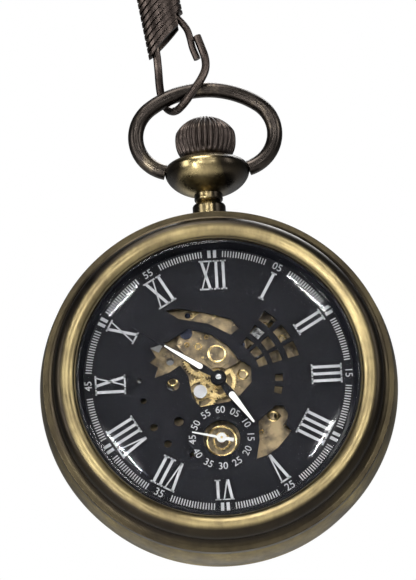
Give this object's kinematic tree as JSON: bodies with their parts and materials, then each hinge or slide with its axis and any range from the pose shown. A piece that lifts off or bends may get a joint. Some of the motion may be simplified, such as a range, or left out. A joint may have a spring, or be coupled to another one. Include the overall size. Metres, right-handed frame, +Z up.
{
  "type": "pocket watch",
  "caption": "open-faced mechanical pocket watch with a pierced black dial over its movement, hanging by its bow from the hooked clasp of a chain",
  "frame": {"origin": "the middle of the hole in the eye of the chain clasp, which the watch hangs from", "axes": "+Z is up, along the watch from 6 to 12 o'clock; +X is to the right of someone looking at the dial; +Y is from the dial to the back"},
  "size_m": [0.047, 0.014, 0.0846],
  "materials": {
    "antique_bronze": "antiqued brass, dark in the hollows and worn bright on the edges",
    "dark_bronze": "darkly antiqued brass",
    "gilt": "gilt and brushed",
    "brass": "cut and polished brass",
    "steel": "brushed steel",
    "blued_steel": "heat-blued steel",
    "glass": "clear polished mineral glass",
    "ruby": "polished synthetic ruby",
    "black_paint": "satin black paint",
    "gasket_rubber": "moulded gasket",
    "ivory_lume": "matt ivory luminous paint"
  },
  "bodies": {
    "clasp": {"clasp_eye": "dark_bronze", "clasp_cap": "dark_bronze", "clasp_hook": "dark_bronze"},
    "latch": {"clasp_latch": "dark_bronze"},
    "bow": {"bow": "antique_bronze"},
    "case": {"pendant": "antique_bronze", "mid_case": "antique_bronze", "bezel": "antique_bronze", "crystal": "glass", "crystal_gasket": "gasket_rubber", "back_cover": "antique_bronze", "back_glass": "glass", "movement_ring": "steel", "case_screws": "steel", "rehaut_ring": "black_paint", "dial": "black_paint", "main_plate": "gilt", "minute_train_bridge": "gilt", "barrel_bridge": "gilt", "train_bridge": "gilt", "balance_cock": "gilt", "pallet_cock": "gilt", "bridge_screws": "blued_steel", "jewels": "ruby", "click_spring": "blued_steel"},
    "crown_carriage": {"stem_collar": "steel"},
    "crown": {"crown": "dark_bronze", "crown_gasket": "gasket_rubber", "winding_stem": "steel"},
    "sliding_pinion": {"sliding_pinion": "steel"},
    "setting_lever": {"setting_lever": "steel"},
    "winding_pinion": {"winding_pinion": "steel"},
    "crown_wheel": {"crown_wheel": "steel"},
    "ratchet": {"ratchet_wheel": "steel", "barrel_arbor": "steel"},
    "click": {"click": "blued_steel"},
    "barrel": {"barrel": "brass", "mainspring": "steel"},
    "centre": {"centre_wheel": "brass", "cannon_pinion": "steel", "minute_hand": "black_paint", "minute_lume": "ivory_lume"},
    "third": {"third_wheel": "brass"},
    "fourth": {"fourth_wheel": "brass", "seconds_hand": "steel"},
    "escape": {"escape_wheel": "steel"},
    "fork": {"pallet_fork": "steel"},
    "balance": {"balance_wheel": "brass", "hairspring": "blued_steel"},
    "regulator": {"regulator": "steel"},
    "minute_work": {"minute_wheel": "brass", "post_cap": "ivory_lume"},
    "hour": {"hour_wheel": "brass", "hour_hand": "black_paint", "hour_lume": "ivory_lume"},
    "intermediate": {"intermediate_wheel": "brass"},
    "setting": {"setting_wheel": "brass"}
  },
  "joints": [
    {"name": "clasp_swing", "type": "hinge", "parent": "clasp", "child": "bow", "pos_m": [0.0028, 0, -0.01825], "axis": [0.9657, 0, 0.2595], "range_deg": [-15, 15]},
    {"name": "latch_open", "type": "hinge", "parent": "clasp", "child": "latch", "pos_m": [0.00252, 0.00015, -0.00691], "axis": [0, 1, 0], "range_deg": [0, 20], "stiffness_Nm_per_rad": 0.001, "springref_deg": -28.65},
    {"name": "bow_fold", "type": "hinge", "parent": "bow", "child": "case", "pos_m": [0.006, 0, -0.0289], "axis": [1, 0, 0], "range_deg": [-80, 80]},
    {"name": "crown_pull", "type": "slide", "parent": "case", "child": "crown_carriage", "axis": [0, 0, 1], "range_m": [0, 0.001]},
    {"name": "crown_turn", "type": "hinge", "parent": "crown_carriage", "child": "crown", "pos_m": [0.006, 0, -0.024], "axis": [0, 0, 1], "continuous": true},
    {"name": "sliding_pinion_shift", "type": "slide", "parent": "crown", "child": "sliding_pinion", "axis": [0, 0, 1], "range_m": [-0.0015, 0]},
    {"name": "setting_lever_swing", "type": "hinge", "parent": "case", "child": "setting_lever", "pos_m": [0.0022, 0, -0.0433], "axis": [0, 1, 0], "range_deg": [-20.6, 0]},
    {"name": "winding_pinion_turn", "type": "hinge", "parent": "case", "child": "winding_pinion", "pos_m": [0.006, 0, -0.0442], "axis": [0, 0, 1], "continuous": true},
    {"name": "crown_wheel_turn", "type": "hinge", "parent": "case", "child": "crown_wheel", "pos_m": [0.006, 0, -0.04662], "axis": [0, 1, 0], "continuous": true},
    {"name": "ratchet_turn", "type": "hinge", "parent": "case", "child": "ratchet", "pos_m": [0.0115, 0, -0.05265], "axis": [0, 1, 0], "continuous": true},
    {"name": "click_release", "type": "hinge", "parent": "case", "child": "click", "pos_m": [0.0181, 0, -0.0508], "axis": [0, 1, 0], "range_deg": [0, 8], "stiffness_Nm_per_rad": 0.0002, "springref_deg": -11.46},
    {"name": "minute_turn", "type": "hinge", "parent": "case", "child": "centre", "pos_m": [0.006, 0, -0.059], "axis": [0, 1, 0], "continuous": true},
    {"name": "barrel_turn", "type": "hinge", "parent": "case", "child": "barrel", "pos_m": [0.0115, 0, -0.05265], "axis": [0, 1, 0], "continuous": true},
    {"name": "third_turn", "type": "hinge", "parent": "case", "child": "third", "pos_m": [0.01051, 0, -0.06371], "axis": [0, 1, 0], "continuous": true},
    {"name": "fourth_turn", "type": "hinge", "parent": "case", "child": "fourth", "pos_m": [0.006, 0, -0.0669], "axis": [0, 1, 0], "continuous": true},
    {"name": "escape_turn", "type": "hinge", "parent": "case", "child": "escape", "pos_m": [0.00179, 0, -0.0688], "axis": [0, 1, 0], "continuous": true},
    {"name": "minute_wheel_turn", "type": "hinge", "parent": "case", "child": "minute_work", "pos_m": [0.00355, 0, -0.06055], "axis": [0, 1, 0], "continuous": true},
    {"name": "hour_turn", "type": "hinge", "parent": "case", "child": "hour", "pos_m": [0.006, 0, -0.059], "axis": [0, 1, 0], "continuous": true},
    {"name": "intermediate_turn", "type": "hinge", "parent": "case", "child": "intermediate", "pos_m": [0.00411, 0, -0.05581], "axis": [0, 1, 0], "continuous": true},
    {"name": "setting_turn", "type": "hinge", "parent": "case", "child": "setting", "pos_m": [0.006, 0, -0.05039], "axis": [0, 1, 0], "continuous": true},
    {"name": "fork_rock", "type": "hinge", "parent": "case", "child": "fork", "pos_m": [0.00016, 0, -0.06656], "axis": [0, 1, 0], "range_deg": [-5, 5]},
    {"name": "balance_swing", "type": "hinge", "parent": "case", "child": "balance", "pos_m": [-0.0035, 0, -0.0615], "axis": [0, 1, 0], "range_deg": [-270, 270], "stiffness_Nm_per_rad": 0.0000005},
    {"name": "regulator_turn", "type": "hinge", "parent": "case", "child": "regulator", "pos_m": [-0.0035, 0, -0.0615], "axis": [0, 1, 0], "range_deg": [-15, 15]}
  ],
  "couplings": [
    {"joint": "sliding_pinion_shift", "follows": "crown_pull", "ratio": -1.5},
    {"joint": "setting_lever_swing", "follows": "crown_pull", "rad_per_m": -357.8},
    {"joint": "winding_pinion_turn", "follows": "crown_turn", "ratio": 1},
    {"joint": "crown_wheel_turn", "follows": "crown_turn", "ratio": -0.58333},
    {"joint": "ratchet_turn", "follows": "crown_turn", "ratio": 0.31818},
    {"joint": "barrel_turn", "follows": "minute_turn", "ratio": -0.16667},
    {"joint": "third_turn", "follows": "minute_turn", "ratio": -8},
    {"joint": "fourth_turn", "follows": "minute_turn", "ratio": 60},
    {"joint": "escape_turn", "follows": "minute_turn", "ratio": -600},
    {"joint": "minute_wheel_turn", "follows": "minute_turn", "ratio": -0.33333},
    {"joint": "hour_turn", "follows": "minute_turn", "ratio": 0.083333},
    {"joint": "intermediate_turn", "follows": "minute_turn", "ratio": 0.27907},
    {"joint": "setting_turn", "follows": "minute_turn", "ratio": -0.23077}
  ]
}
